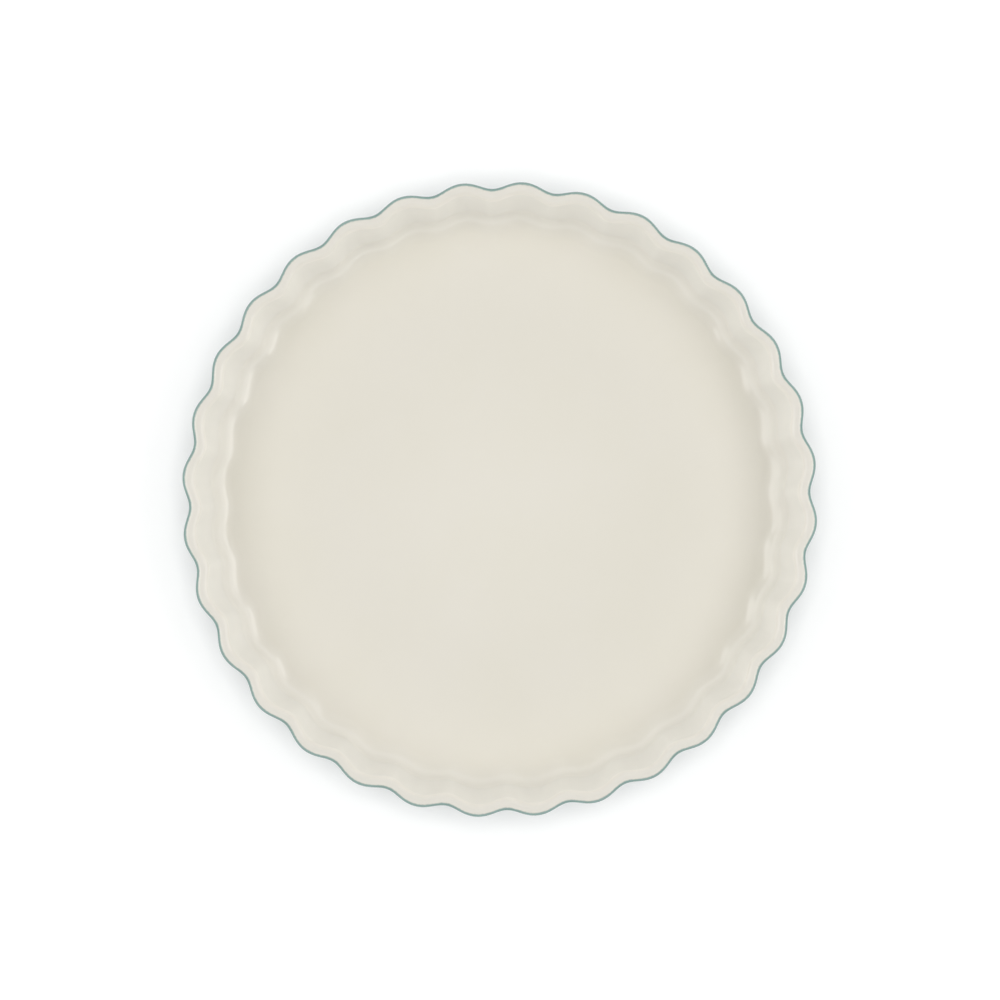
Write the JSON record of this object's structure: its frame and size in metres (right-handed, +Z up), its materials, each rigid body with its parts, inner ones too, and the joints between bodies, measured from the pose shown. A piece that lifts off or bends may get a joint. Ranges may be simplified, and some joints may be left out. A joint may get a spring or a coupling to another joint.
{
  "type": "tart dish",
  "caption": "Round fluted stoneware tart dish with sloping scalloped walls, a flat floor, cream glaze inside and teal glaze outside over a bare clay foot ring.",
  "frame": {"origin": "centre of the plane that the foot ring stands on", "axes": "+Z up along the dish's axis, +X through the crest of one flute"},
  "size_m": [0.283, 0.283, 0.04],
  "materials": {
    "stoneware": "bare fired clay, fine grained and matt",
    "cream_glaze": "smooth glossy cream glaze",
    "teal_glaze": "glossy grey-teal glaze, thinner on the flutes' crests and at the lip"
  },
  "bodies": {
    "root": {"stoneware_body": "stoneware", "inner_glaze": "cream_glaze", "outer_glaze": "teal_glaze", "underside_glaze": "teal_glaze"}
  },
  "joints": []
}
